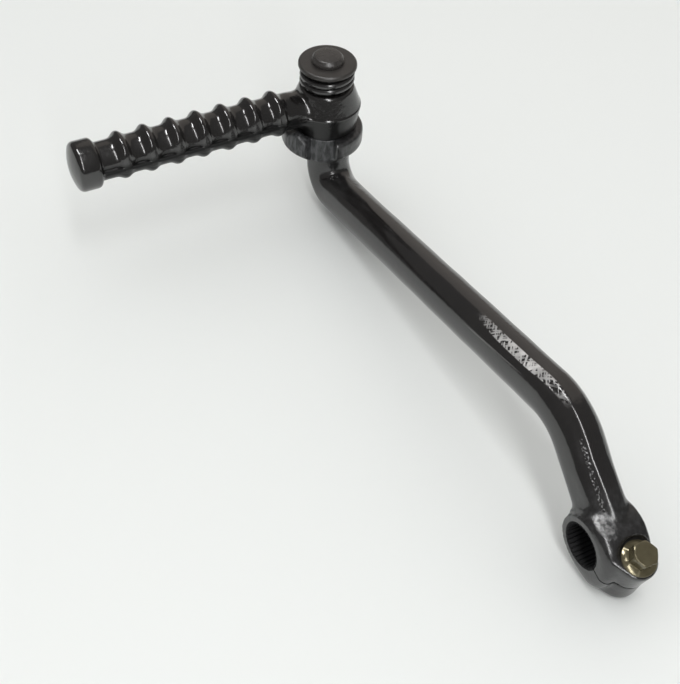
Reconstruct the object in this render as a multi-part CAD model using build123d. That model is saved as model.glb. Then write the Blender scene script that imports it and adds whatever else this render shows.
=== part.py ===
from build123d import *
import os
from math import cos, radians, sin, tan

# Kick start lever: a forged arm clamped on a splined shaft, with a ribbed pedal that folds on a pin.
# Frame: origin at the centre of the shaft bore, X towards the pin, Y along the shaft, Z along the pin.
# Sizes are in millimetres and degrees.

# Shaft bore with its serrations, and the ring round it
bore_radius = 7.6
spline_depth = 0.5
spline_teeth = 30
spline_gap_share = 0.58
boss_radius = 13.2
boss_shift = 1.5
boss_width = 18.0
boss_edge = 1.6
facing_margin = 1.0

# Split lug and pinch bolt, both turned about the shaft by the clamp's tilt
clamp_tilt = 19.0
slit_width = 1.0
bolt_offset = 12.0
lug_radius = 7.0
seat_height = 10.0
stem_radius = 8.4
stem_offset = 6.0
jaw_depth = 11.0
jaw_round = 3.5
bolt_radius = 3.0
bolt_clearance = 0.2
thread_length = 5.5
head_across_flats = 8.0
head_height = 6.0
head_chamfer = 0.5
flange_radius = 6.2
flange_rim = 0.7
flange_height = 1.8

# Forged arm: an eight-sided bar on a cranked path, a little inboard of the boss's middle.
# It is rolled a little about its own line, and its top rises to the ring in a flare.
pivot_distance = 207.4
arm_inset = 2.0
bend_along = 32.2
bend_height = 28.4
elbow_drop = 9.1
bend_radius = 22.0
elbow_radius = 10.4
bar_half_width = 8.9
bar_half_height = 8.9
shoulder_across = 6.1
shoulder_up = 6.6
shoulder_round = 4.5
ridge_edge = 1.8
bar_roll = 10.0
flare_share = 0.6
flare_height = 13.7

# Head of the arm: a collar set back between two lobes, and the quadrant that stops the pedal
collar_radius = 16.7
collar_shift = 1.1
collar_bottom = 11.2
collar_top = 22.6
collar_chamfer_along = 5.0
collar_chamfer_up = 4.6
collar_edge = 1.6
relief_radius = 12.4
relief_start = 127.0
relief_end = 170.0
quadrant_radius = 10.4
quadrant_depth = 7.0
quadrant_end = 35.0
fold_travel = 90.0

# Folding pedal
pedal_axis_height = 33.2
first_rib = 23.1
rib_pitch = 10.7
rib_count = 7
rib_radius = 9.6
valley_radius = 7.5
rib_crest = 2.2
grip_half_width = 8.5
rib_draft = 15.0
parting_land = 1.4
land_step = 0.3
neck_length = 4.6
knob_radius = 9.8
knob_length = 8.2
knob_dome = 2.2
knob_edge = 1.6
hub_radius = 14.3
hub_top_radius = 11.7
hub_bottom_radius = 12.6
hub_rise = 8.8
hub_edge = 0.8
gusset_radius = 11.0
gusset_end = 19.0
stop_angle = 26.0
stop_clearance = 1.5
stop_reach = 15.2
stop_depth = 6.0

# Pin, spring and washer that hold the pedal down
pin_radius = 5.0
pin_fit = 0.05
pin_depth = 16.0
running_gap = 0.25
spring_wire = 2.6
spring_turns = 2.2
spring_pitch = 2.7
spring_radius = 11.0
spring_seat_gap = 0.05
washer_radius = 11.7
washer_thickness = 1.7
washer_fit = 0.1
rivet_radius = 6.5
rivet_rim = 1.2
rivet_dome = 2.0

# Places that follow from the sizes above
hub_bottom = collar_top + running_gap
hub_top = pedal_axis_height + hub_rise
washer_bottom = hub_top + spring_pitch * spring_turns + spring_wire + 2 * spring_seat_gap
washer_top = washer_bottom + washer_thickness
last_valley = first_rib + rib_pitch * (rib_count - 0.5)
knob_start = last_valley + neck_length
pedal_reach = knob_start + knob_length + knob_dome
stop_start = quadrant_end - stop_clearance - stop_angle
quadrant_start = stop_start - fold_travel - stop_clearance
bolt_length = seat_height + slit_width / 2 + thread_length
pivot = Pos(pivot_distance, 0, 0)
arm_plane = Pos(0, -arm_inset, 0)
clamp = Rot(0, -clamp_tilt, 0)
upward = (Align.CENTER, Align.CENTER, Align.MIN)
downward = (Align.CENTER, Align.CENTER, Align.MAX)


def upright_sector(inner, outer, start, end, bottom, top):
    """A block between two radii and two angles round the pin, standing from bottom to top."""
    far = 2 * outer
    middle = (start + end) / 2
    corners = [(far * cos(radians(a)), far * sin(radians(a))) for a in (start, middle, end)]
    wedge = make_face(Polyline((0, 0), *corners, close=True))
    ring = Circle(outer) - Circle(inner)
    return Pos(0, 0, bottom) * extrude(wedge & ring, top - bottom)


def bar_section(plane, top):
    """The arm's eight-sided section: a ridge above and below, a ridge on each side, shoulders between."""
    quarter = [(0, bar_half_height), (shoulder_across, shoulder_up), (bar_half_width, 0)]
    upper = [(x, y * top / bar_half_height) for x, y in quarter]
    right = upper + [(x, -y) for x, y in reversed(quarter[:-1])]
    left = [(-x, y) for x, y in reversed(right[1:-1])]
    outline = make_face(Polyline(*right, *left, close=True))
    middle = shoulder_across / 2
    outline = fillet(outline.vertices().filter_by(lambda corner: abs(corner.X) < middle), ridge_edge)
    outline = fillet(outline.vertices().filter_by(lambda corner: abs(corner.X) > middle), shoulder_round)
    return plane * Rot(0, 0, -bar_roll) * outline


def forged_bar():
    """The bar from its flare at the ring over the bend and the elbow, up through the collar."""
    flare_end = (flare_share * bend_along, 0, flare_share * bend_height)
    path = FilletPolyline(
        flare_end,
        (bend_along, 0, bend_height),
        (pivot_distance, 0, -elbow_drop),
        (pivot_distance, 0, collar_top),
        radius=[bend_radius, elbow_radius],
    )
    ring_end = Plane(origin=(0, 0, 0), x_dir=(0, 1, 0), z_dir=path % 0)
    bar_end = Plane(origin=flare_end, x_dir=(0, 1, 0), z_dir=path % 0)
    bar = bar_section(bar_end, bar_half_height)
    flare = loft([bar_section(ring_end, flare_height), bar])
    return arm_plane * (flare + sweep(bar, path=path))


def clamp_lug():
    """The lug beside the ring, which the slit divides into two jaws."""
    stem = Pos(bolt_offset - stem_offset, arm_inset) * Circle(stem_radius)
    plan = make_hull(Circle(lug_radius).edges() + stem.edges())
    lug = extrude(plan, jaw_depth + seat_height)
    lug = fillet(lug.edges().group_by(Axis.Z)[0], jaw_round)
    return clamp * arm_plane * Pos(-bolt_offset, 0, -jaw_depth) * lug


def ring_blank():
    """The ring round the shaft, thicker on the lug's side, with rounded rims."""
    ring = Rot(90, 0, 0) * Cylinder(boss_radius, boss_width)
    ring = fillet(ring.edges().filter_by(GeomType.CIRCLE), boss_edge)
    return clamp * Pos(-boss_shift, 0, 0) * ring


def spline_cut():
    """The plain bore with its row of serration grooves."""
    pitch_width = 2 * bore_radius * sin(radians(180 / spline_teeth))
    half = pitch_width * spline_gap_share / 2
    inside = bore_radius - spline_depth
    outside = bore_radius + spline_depth
    corners = [(inside, -half), (outside, -half / 3), (outside, half / 3), (inside, half)]
    groove = make_face(Polyline(*corners, close=True))
    star = Circle(bore_radius) + PolarLocations(0, spline_teeth) * groove
    return Rot(90, 0, 0) * extrude(star, boss_width, both=True)


def back_facing():
    """The machined face that leaves the boss's back flat where the bar would stand proud of it."""
    cutter = Rot(90, 0, 0) * Cylinder(boss_radius + facing_margin, bar_half_width, align=upward)
    return clamp * Pos(-boss_shift, -boss_width / 2, 0) * cutter


def clamp_cuts():
    """The slit through the lug, the flat bolt seat, and the bolt's clearance and thread holes."""
    slit_length = bolt_offset + 2 * lug_radius
    slit = Pos(-slit_length / 2, 0, 0) * Box(slit_length, 3 * boss_width, slit_width)
    seat = Pos(0, 0, seat_height) * Cylinder(lug_radius, boss_radius, align=upward)
    clearance_hole = Cylinder(bolt_radius + bolt_clearance, seat_height, align=upward)
    thread_hole = Cylinder(bolt_radius, 2 * jaw_depth, align=downward)
    return clamp * arm_plane * (slit + Pos(-bolt_offset, 0, 0) * (seat + clearance_hole + thread_hole))


def arm_head():
    """The collar under the pedal, set back between its two lobes."""
    collar = Pos(0, collar_shift, collar_bottom) * Cylinder(
        collar_radius, collar_top - collar_bottom, align=upward
    )
    collar = chamfer(collar.edges().group_by(Axis.Z)[0], collar_chamfer_up, collar_chamfer_along)
    collar = fillet(collar.edges().group_by(Axis.Z)[-1], collar_edge)
    return collar - upright_sector(
        relief_radius, 2 * collar_radius, relief_start, relief_end, 0, collar_top
    )


def kick_arm():
    """Ring, lug, bar and collar in one forging, with its bores, slit and bolt seat."""
    floor = collar_top - quadrant_depth
    reach = 2 * collar_radius
    quadrant = upright_sector(quadrant_radius, reach, quadrant_start, quadrant_end, floor, hub_top)
    pin_bore = Pos(0, 0, collar_top) * Cylinder(pin_radius, pin_depth, align=downward)
    arm = ring_blank() + clamp_lug() + forged_bar() + pivot * arm_head()
    return arm - pivot * (quadrant + pin_bore) - back_facing() - spline_cut() - clamp_cuts()


def grip_outline():
    """Half outline of the grip: round crests and scooped valleys that meet on a common tangent."""
    rise = rib_radius - valley_radius
    half = rib_pitch / 2
    reach = (half**2 + rise**2) / (2 * rise)
    along = half * rib_crest / reach
    flank = rib_radius - rise * rib_crest / reach
    ribs = [first_rib + rib_pitch * i for i in range(rib_count)]
    root = (ribs[0] - half, valley_radius)
    neck = (last_valley, valley_radius)
    shoulder = pedal_reach - knob_dome
    crests = [ThreePointArc((y - along, flank), (y, rib_radius), (y + along, flank)) for y in ribs]
    side = half - along
    lows = [y + half for y in ribs[:-1]]
    valleys = [ThreePointArc((y - side, flank), (y, valley_radius), (y + side, flank)) for y in lows]
    ends = [
        TangentArc(root, (ribs[0] - along, flank), tangent=(1, 0)),
        TangentArc(neck, (ribs[-1] + along, flank), tangent=(-1, 0)),
        Polyline(neck, (knob_start, valley_radius), (knob_start, knob_radius), (shoulder, knob_radius)),
        TangentArc((pedal_reach, 0), (shoulder, knob_radius), tangent=(0, 1)),
        Polyline((pedal_reach, 0), (0, 0), (0, valley_radius), root),
    ]
    return make_face(Curve() + crests + valleys + ends)


def ribbed_grip():
    """The ribbed grip and its end knob: the ribs' sides slope by the draft down to the parting land."""
    grip = revolve(grip_outline(), Axis.X)
    rims = grip.edges().filter_by(GeomType.CIRCLE).filter_by(Plane.YZ)
    grip = fillet(rims.group_by(SortBy.RADIUS)[-1], knob_edge)
    side = 2 * rib_radius
    narrow = grip_half_width - side * tan(radians(rib_draft))
    half = [(grip_half_width, 0), (narrow, side), (-narrow, side), (-grip_half_width, 0)]
    drafted = make_face(Polyline(*half, (-narrow, -side), (narrow, -side), close=True))
    trim = extrude(Plane.YZ * (Rectangle(2 * side, 2 * side) - drafted), knob_start)
    land_end = knob_start + knob_edge
    land = Pos(land_end / 2, 0, 0) * Box(land_end, 2 * (grip_half_width + land_step), parting_land)
    return Pos(0, 0, pedal_axis_height) * Rot(0, 0, 90) * (grip - trim + land)


def pedal_hub():
    """The hub: widest at the parting line, drawn in above and below."""
    lower = Polyline((0, hub_bottom), (hub_bottom_radius, hub_bottom), (hub_radius, pedal_axis_height))
    upper = TangentArc((hub_radius, pedal_axis_height), (hub_top_radius, hub_top), tangent=(0, 1))
    axis_line = Polyline((hub_top_radius, hub_top), (0, hub_top), (0, hub_bottom))
    hub = revolve(Plane.XZ * make_face(Curve() + [lower, upper, axis_line]), Axis.Z)
    return fillet(hub.edges().group_by(Axis.Z)[-1], hub_edge)


def folding_pedal():
    """Hub, gusset, ribbed grip and stop lug in one forging, bored for the pin."""
    gusset = Cone(gusset_radius, valley_radius, gusset_end, align=upward)
    gusset = Pos(0, 0, pedal_axis_height) * Rot(-90, 0, 0) * gusset
    stop = upright_sector(
        quadrant_radius + running_gap, stop_reach, stop_start, stop_start + stop_angle,
        collar_top - stop_depth, pedal_axis_height,
    )
    reach = 4 * hub_radius
    above = Pos(0, 0, hub_top) * Box(reach, reach, reach, align=upward)
    below = Pos(0, 0, hub_bottom) * Box(reach, reach, reach, align=downward)
    pin_bore = Cylinder(pin_radius + pin_fit, 3 * hub_top)
    pedal = pedal_hub() + (gusset - above - below) + ribbed_grip()
    return pivot * (pedal + stop - pin_bore)


def pivot_pin():
    """A pin pressed into the arm's head and riveted over the washer."""
    bottom = collar_top - pin_depth
    dome_base = washer_top + rivet_rim
    shank = Polyline((0, bottom), (pin_radius, bottom), (pin_radius, washer_top))
    rim = Polyline((pin_radius, washer_top), (rivet_radius, washer_top), (rivet_radius, dome_base))
    dome = TangentArc((0, dome_base + rivet_dome), (rivet_radius, dome_base), tangent=(1, 0))
    axis_line = Line((0, dome_base + rivet_dome), (0, bottom))
    return pivot * revolve(Plane.XZ * make_face(Curve() + [shank, rim, dome, axis_line]), Axis.Z)


def retaining_washer():
    """The flat washer that the spring pushes against the rivet head."""
    ring = Circle(washer_radius) - Circle(pin_radius + washer_fit)
    return pivot * Pos(0, 0, washer_bottom) * extrude(ring, washer_thickness)


def detent_spring():
    """The coil spring that holds the pedal hub down on the collar."""
    coil = Helix(spring_pitch, spring_pitch * spring_turns, spring_radius - spring_wire / 2)
    start = Plane(origin=coil @ 0, z_dir=coil % 0)
    wire = sweep(start * Circle(spring_wire / 2), path=coil, is_frenet=True)
    return pivot * Pos(0, 0, hub_top + spring_seat_gap + spring_wire / 2) * wire


def pinch_bolt():
    """A hexagon flange bolt through the upper jaw into the thread of the lower one."""
    rim = Cylinder(flange_radius, flange_rim, align=upward)
    skirt = Pos(0, 0, flange_rim) * Cone(
        flange_radius, head_across_flats / 2, flange_height - flange_rim, align=upward
    )
    head = extrude(RegularPolygon(head_across_flats / 2, 6, major_radius=False), head_height)
    head = chamfer(head.edges().group_by(Axis.Z)[-1], head_chamfer)
    shank = Cylinder(bolt_radius, bolt_length, align=downward)
    return clamp * arm_plane * Pos(-bolt_offset, 0, seat_height) * (rim + skirt + head + shank)


parts = {
    "kick_arm": kick_arm(),
    "folding_pedal": folding_pedal(),
    "pivot_pin": pivot_pin(),
    "retaining_washer": retaining_washer(),
    "detent_spring": detent_spring(),
    "pinch_bolt": pinch_bolt(),
}
os.makedirs("parts", exist_ok=True)
for name, shape in parts.items():
    export_step(shape, f"parts/{name}.step")
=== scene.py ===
# %% [markdown]
# # A forged kick start lever with a folding pedal
# The solids of the lever arrive as a fixed frame, and every visible piece is laid over them in the same
# coordinates. The frame's own box is measured first, and the floor, the lamps and the jaw's lowest point are
# set from it.

# %% Load the solids
from math import radians

import bmesh
import bpy
import numpy as np
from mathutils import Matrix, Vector


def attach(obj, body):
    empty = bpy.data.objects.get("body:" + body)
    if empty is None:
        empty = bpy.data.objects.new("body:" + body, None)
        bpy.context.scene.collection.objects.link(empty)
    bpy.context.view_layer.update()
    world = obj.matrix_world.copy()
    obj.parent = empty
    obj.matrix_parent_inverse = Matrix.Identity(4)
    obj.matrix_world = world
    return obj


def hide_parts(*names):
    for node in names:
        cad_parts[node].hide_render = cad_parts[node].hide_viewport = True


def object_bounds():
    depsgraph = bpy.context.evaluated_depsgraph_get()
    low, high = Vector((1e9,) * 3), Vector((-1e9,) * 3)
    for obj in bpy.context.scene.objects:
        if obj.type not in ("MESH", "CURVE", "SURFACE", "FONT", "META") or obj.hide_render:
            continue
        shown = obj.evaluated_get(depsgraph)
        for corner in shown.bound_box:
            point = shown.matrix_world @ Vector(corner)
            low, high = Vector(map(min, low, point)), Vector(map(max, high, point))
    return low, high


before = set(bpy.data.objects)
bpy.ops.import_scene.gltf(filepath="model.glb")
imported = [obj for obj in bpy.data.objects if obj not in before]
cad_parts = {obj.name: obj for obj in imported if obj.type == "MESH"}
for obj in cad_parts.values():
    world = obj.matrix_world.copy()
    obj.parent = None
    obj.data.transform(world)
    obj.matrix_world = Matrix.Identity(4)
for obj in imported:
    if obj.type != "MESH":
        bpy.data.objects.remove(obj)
solid_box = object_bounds()
mm_per_m = 1000
print("nodes:", sorted(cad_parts))

# %% [markdown]
# ## Surfaces as grids of points
# Most pieces here were turned, coiled or drawn in a die, so each is a function of two numbers: how far
# along its outline, and how far round. They could be pulled by hand from cylinders, but a formula keeps its
# sizes. Numpy works a whole grid out at once, and one helper makes the mesh. Where a grid closes on itself
# its points coincide, and merging them shuts the seam and the poles.

# %% From grids to a piece
merge_gap = 2e-6
sharp_angle = radians(40)


def places(x, y, z):
    """Three arrays of coordinates, spread to one shape and joined to points."""
    return np.stack(np.broadcast_arrays(x, y, z), axis=-1)


def grid_quads(rows, columns):
    """Each point of a grid, stored row by row, is joined to the next column and the next row."""
    first = np.arange((rows - 1) * columns).reshape(rows - 1, columns)[:, :-1]
    return np.stack([first, first + 1, first + columns + 1, first + columns], axis=-1).reshape(-1, 4)


def piece_from_grids(name, grids):
    """One smooth mesh from closed grids in millimetres, stored in metres, with normals outwards."""
    sizes = [grid.shape[0] * grid.shape[1] for grid in grids]
    starts = np.concatenate([[0], np.cumsum(sizes)[:-1]])
    points = np.concatenate([grid.reshape(-1, 3) for grid in grids]) / mm_per_m
    quads = [grid_quads(*grid.shape[:2]) + start for grid, start in zip(grids, starts)]
    mesh = bpy.data.meshes.new(name)
    mesh.from_pydata(points.tolist(), [], np.concatenate(quads).tolist())
    shell = bmesh.new()
    shell.from_mesh(mesh)
    bmesh.ops.remove_doubles(shell, verts=shell.verts, dist=merge_gap)
    bmesh.ops.recalc_face_normals(shell, faces=shell.faces)
    shell.to_mesh(mesh)
    shell.free()
    mesh.shade_smooth()
    mesh.set_sharp_from_angle(angle=sharp_angle)
    piece = bpy.data.objects.new(name, mesh)
    bpy.context.scene.collection.objects.link(piece)
    print(name, len(mesh.polygons), "faces")
    return piece


print("a grid of 3 by 4 points has", len(grid_quads(3, 4)), "faces")

# %% [markdown]
# ## Rounded outlines
# No edge on a forging or a pressed part is sharp. A bevel afterwards would round all edges alike, so an
# outline is written as its corners and the radius at each one, and a corner becomes the arc that touches
# both of its sides. Turned parts carry such an outline round an axis.


# %% Arcs at corners, and turning
def rounded(corners, radii, steps=8):
    """Corners joined by lines, where each inner one is an arc of its radius touching both its sides."""
    corners = np.asarray(corners, float)
    here = corners[1:-1]
    back = corners[:-2] - here
    ahead = corners[2:] - here
    back /= np.linalg.norm(back, axis=1, keepdims=True)
    ahead /= np.linalg.norm(ahead, axis=1, keepdims=True)
    turn = np.pi - np.arccos(np.clip((back * ahead).sum(1), -1, 1))
    radii = np.broadcast_to(np.asarray(radii, float), turn.shape)
    setback = (radii * np.tan(turn / 2))[:, None]
    middle = back + ahead
    middle /= np.linalg.norm(middle, axis=1, keepdims=True)
    centre = here + middle * (radii / np.cos(turn / 2))[:, None]
    first = here + back * setback - centre
    last = here + ahead * setback - centre
    share = np.linspace(0, 1, steps)[None, :, None]
    sweep = turn[:, None, None]
    arcs = np.sin((1 - share) * sweep) * first[:, None] + np.sin(share * sweep) * last[:, None]
    arcs = centre[:, None] + arcs / np.sin(sweep)
    return np.concatenate([corners[:1], arcs.reshape(-1, 2), corners[-1:]])


def turned(outline, around=96):
    """An outline of radius and height, carried in a full circle about the Z axis."""
    radius, height = outline.T[..., None]
    angle = np.linspace(0, 2 * np.pi, around + 1)
    return places(radius * np.cos(angle), radius * np.sin(angle), height)


def at(grid, *place):
    """The grid moved by a vector in millimetres."""
    return grid + np.asarray(place, float)


pivot = (207.4, 0.0, 0.0)
print("a square corner becomes", len(rounded([(0, 0), (1, 0), (1, 1)], 0.2)), "points, pivot at", pivot)

# %% [markdown]
# ## Finishes as expressions
# A finish could be a web of nodes, but it is easier to read as arithmetic. This small class wraps one
# socket, so that a sum, difference or product of sockets adds its Math nodes by itself.


# %% Socket arithmetic
class Socket:
    """One output of a node. Arithmetic with it adds Math nodes to the same finish."""

    def __init__(self, finish, socket):
        self.finish = finish
        self.socket = socket

    def maths(self, operation, first, second):
        return self.finish.add("ShaderNodeMath", {"operation": operation}, {0: first, 1: second})

    def __add__(self, other):
        return self.maths("ADD", self, other)

    def __sub__(self, other):
        return self.maths("SUBTRACT", self, other)

    def __rsub__(self, other):
        return self.maths("SUBTRACT", other, self)

    def __mul__(self, other):
        return self.maths("MULTIPLY", self, other)

    __radd__ = __add__
    __rmul__ = __mul__


print("sockets add, subtract and multiply")

# %% [markdown]
# ## A finish and its nodes
# One method adds every other node: its settings first, then a value or a link for each socket. The rest
# only give plain names to what a painter needs, such as noise, a fade or a relief. Patterns read Object
# coordinates in millimetres, so that their sizes can be held against a ruler.


# %% Materials from nodes
class Finish:
    """A material built from nodes, with Object coordinates in millimetres at hand."""

    def __init__(self, name):
        self.material = bpy.data.materials.new(name)
        self.material.use_nodes = True
        self.tree = self.material.node_tree
        self.tree.nodes.clear()
        metres = self.add("ShaderNodeTexCoord", output="Object")
        self.place = self.add("ShaderNodeVectorMath", {"operation": "SCALE"}, {0: metres, "Scale": mm_per_m})

    def add(self, kind, settings=None, sockets=None, output=0):
        """A node of this kind: settings first, then a value or a link for each socket named."""
        node = self.tree.nodes.new(kind)
        for name, value in (settings or {}).items():
            setattr(node, name, value)
        for name, value in (sockets or {}).items():
            if isinstance(value, Socket):
                self.tree.links.new(value.socket, node.inputs[name])
            elif node.inputs[name].type == "RGBA":
                node.inputs[name].default_value = (*value, 1.0)
            else:
                node.inputs[name].default_value = value
        return Socket(self, node.outputs[output]) if len(node.outputs) else None

    def noise(self, size, detail=2.0, place=None):
        """Soft noise from 0 to 1 whose blobs are about this many millimetres across."""
        sockets = {"Vector": place or self.place, "Scale": 1 / size, "Detail": detail}
        return self.add("ShaderNodeTexNoise", {}, sockets)

    def fade(self, value, low, high):
        """A smooth rise from 0 at low to 1 at high."""
        sockets = {"Value": value, "From Min": low, "From Max": high}
        return self.add("ShaderNodeMapRange", {"interpolation_type": "SMOOTHSTEP"}, sockets)

    def between(self, value, start, end, soft):
        """1 between start and end, fading to 0 over a soft margin at each."""
        return self.fade(value, start - soft, start + soft) * (1 - self.fade(value, end - soft, end + soft))

    def vector(self, x, y, z):
        """Three numbers as one place."""
        return self.add("ShaderNodeCombineXYZ", {}, {0: x, 1: y, 2: z})

    def coordinate(self, axis):
        """The place's own X, Y or Z, counted as 0, 1 or 2."""
        return self.add("ShaderNodeSeparateXYZ", {}, {0: self.place}, output=axis)

    def stretched(self, x, y, z):
        """The place with each of its coordinates multiplied."""
        return self.add("ShaderNodeVectorMath", {"operation": "MULTIPLY"}, {0: self.place, 1: (x, y, z)})

    def attribute(self, name):
        """A number that the mesh carries at each point."""
        return self.add("ShaderNodeAttribute", {"attribute_name": name}, output="Fac")

    def blend(self, factor, first, second):
        """The first colour where the factor is 0, the second where it is 1."""
        return self.add("ShaderNodeMix", {"data_type": "RGBA"}, {0: factor, 6: first, 7: second}, output=2)

    def bump(self, height, depth, strength=0.5):
        """A normal that tilts as a relief of this depth in millimetres would."""
        sockets = {"Height": height, "Distance": depth / mm_per_m, "Strength": strength}
        return self.add("ShaderNodeBump", {}, sockets)

    def coat_with(self, sockets):
        """The Principled shader with these sockets goes to the material's output."""
        shader = self.add("ShaderNodeBsdfPrincipled", {}, sockets)
        self.add("ShaderNodeOutputMaterial", {}, {"Surface": shader})
        print("finish", self.material.name, len(self.tree.nodes), "nodes")
        return self.material


board = Finish("pale_board")
board_paint = board.coat_with({"Base Color": (0.86, 0.885, 0.87), "Roughness": 0.6})

# %% [markdown]
# ## The camera
# A camera could be placed by eye, but this one was fitted to the photograph from points that can be found
# on the solids, such as the bore, the bolt, the rib tops and the washer. It looks down at the lever from
# beside the clamp, with a short telephoto lens.

# %% Camera at the photograph's angle
lens = bpy.data.cameras.new("photo_camera")
lens.lens = 67.186
lens.sensor_width = 36.0
camera = bpy.data.objects.new("photo_camera", lens)
camera.location = (-0.16611, 0.19907, 0.34447)
camera.rotation_euler = (radians(42.9585), radians(-2.6906), radians(-116.8502))
bpy.context.scene.collection.objects.link(camera)
bpy.context.scene.camera = camera
print("camera", tuple(round(value, 4) for value in camera.location))

# %% [markdown]
# ## Floor and light
# The lever lies on a pale board, in soft light from the ceiling and from a window at one side. A long lamp
# behind the camera draws the thin glints on the paint, and a warm wall stands at the far side. Black gloss
# shows whatever it mirrors, so the room is dim, and both soft lights are left out of mirror images. The
# lamp is much brighter than its light on the board, so a second one in its place is seen in mirror images
# only, and so is the lamp overhead.


# %% Pale floor and soft light
def lamp(name, direction, distance, sides, power, colour=(1.0, 1.0, 1.0), lights=True, mirrored=True):
    """An area light that faces the lever's middle from this direction, its first side level."""
    light = bpy.data.lights.new(name, "AREA")
    light.shape = "RECTANGLE"
    light.size, light.size_y = sides
    light.energy = power
    light.color = colour
    holder = bpy.data.objects.new(name, light)
    toward = Vector(direction).normalized()
    holder.location = (solid_box[0] + solid_box[1]) / 2 + toward * distance
    holder.rotation_euler = toward.to_track_quat("Z", "Y").to_euler()
    holder.visible_diffuse = lights
    holder.visible_glossy = mirrored
    bpy.context.scene.collection.objects.link(holder)


floor_reach = 6
floor_height = solid_box[0].z - 0.0002
corner_signs = ((-1, -1), (1, -1), (1, 1), (-1, 1))
floor_mesh = bpy.data.meshes.new("floor")
floor_corners = [(floor_reach * x, floor_reach * y, floor_height) for x, y in corner_signs]
floor_mesh.from_pydata(floor_corners, [], [(0, 1, 2, 3)])
floor_mesh.materials.append(board_paint)
floor = bpy.data.objects.new("floor", floor_mesh)
bpy.context.scene.collection.objects.link(floor)

lamp_place = ((-0.60, 0.15, 0.78), 1.3, (0.14, 1.5))
lamp("bounced_light", (0.62, -0.66, 1.0), 1.4, (6.0, 6.0), 71.0, mirrored=False)
lamp("side_window", (0.15, 0.85, 0.6), 1.5, (3.0, 2.0), 9.0, mirrored=False)
lamp("long_lamp", *lamp_place, 7.5)
lamp("lamp_image", *lamp_place, 15.0, lights=False)
lamp("overhead_image", (0.29, 0.08, 0.95), 1.3, (0.2, 0.58), 7.0, lights=False)
lamp("far_wall", (0.62, -0.62, 0.40), 1.8, (2.2, 2.2), 4.2, (1.0, 0.90, 0.80))

room = bpy.data.worlds.new("dim_room")
room.use_nodes = True
room.node_tree.nodes["Background"].inputs["Color"].default_value = (0.16, 0.157, 0.153, 1.0)
bpy.context.scene.world = room
bpy.context.scene.view_settings.view_transform = "Standard"
print("floor at", round(floor_height * mm_per_m, 2), "mm")

# %% [markdown]
# ## The forged arm
# The arm is one forging: ring, cranked bar and collar flow into each other without a crease, and a die
# never leaves a dead flat face. Separate grids would show their joins, so the solid's own mesh is copied,
# merged and rebuilt as one even net from small cubes of space. Every later step only moves the points of
# that net.

# %% Arm mesh from the solid
arm_cube = 0.52


def space_filled(node, name, cube):
    """A copy of a solid's mesh, merged, then rebuilt as an even net with this spacing in millimetres."""
    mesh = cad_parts[node].data.copy()
    shell = bmesh.new()
    shell.from_mesh(mesh)
    bmesh.ops.remove_doubles(shell, verts=shell.verts, dist=1e-6)
    shell.to_mesh(mesh)
    shell.free()
    block = bpy.data.objects.new(name, mesh)
    bpy.context.scene.collection.objects.link(block)
    net = block.modifiers.new("net", "REMESH")
    net.mode = "VOXEL"
    net.voxel_size = cube / mm_per_m
    even = bpy.data.meshes.new_from_object(block.evaluated_get(bpy.context.evaluated_depsgraph_get()))
    block.modifiers.clear()
    block.data = even
    even.name = name
    even.materials.clear()
    even.shade_smooth()
    print(name, len(even.vertices), "points")
    return block


def points_of(mesh):
    """All points of a mesh as an array in millimetres."""
    flat = np.empty(3 * len(mesh.vertices))
    mesh.vertices.foreach_get("co", flat)
    return flat.reshape(-1, 3) * mm_per_m


def corners_of(parts, each):
    """The numbers of the points at each edge's ends or each face's corners, one row for each."""
    flat = np.empty(each * len(parts), np.int64)
    parts.foreach_get("vertices", flat)
    return flat.reshape(-1, each)


arm = space_filled("kick_arm", "forged_arm", arm_cube)
arm_points = points_of(arm.data)
arm_ends = corners_of(arm.data.edges, 2)
arm_quads = corners_of(arm.data.polygons, 4)

# %% [markdown]
# ## Where a point lies on the bar
# Fillets, wear and glints are all placed along the bar, not in space. The bar's middle line is a cranked
# path with two bends, so each point of the net is given its distance along that line, its height over it,
# its distance to the side, and the angle of roll that those two make.

# %% Along, over and across the bar
bar_corners = [(0, 0), (32.2, 28.4), (207.4, -9.1), (207.4, 22.6)]
bar_bends = [22.0, 10.4]
bar_inset = -2.0
stations = 321
bar_line = rounded(bar_corners, bar_bends, steps=24)
bar_steps = np.linalg.norm(np.diff(bar_line, axis=0), axis=1)
bar_run = np.concatenate([[0], np.cumsum(bar_steps)])
even_run = np.linspace(0, bar_run[-1], stations)
middle_line = np.stack([np.interp(even_run, bar_run, bar_line[:, k]) for k in range(2)], axis=-1)
direction = np.gradient(middle_line, axis=0)
direction /= np.linalg.norm(direction, axis=1, keepdims=True)


def bar_coordinates(points):
    """The nearest station of the middle line, then the offsets along, over and beside it, and the roll."""
    flat = points[:, [0, 2]]
    gap = (flat**2).sum(1)[:, None] - 2 * flat @ middle_line.T + (middle_line**2).sum(1)[None]
    nearest = gap.argmin(1)
    offset = flat - middle_line[nearest]
    along = even_run[nearest] + (offset * direction[nearest]).sum(1)
    over = offset[:, 1] * direction[nearest, 0] - offset[:, 0] * direction[nearest, 1]
    across = points[:, 1] - bar_inset
    return along, over, across, np.degrees(np.arctan2(across, over))


print("bar is", round(float(bar_run[-1]), 1), "mm along its middle line")

# %% [markdown]
# ## Neighbours, normals and weights
# Every step on the net asks the same of a point: where the middle of its neighbours is, which way is out,
# and how much it takes part. Blender's own brushes do that by hand. Here numpy counts over all edges and
# faces at once, and a weight is a smooth rise or a hump of some distance.


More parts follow.
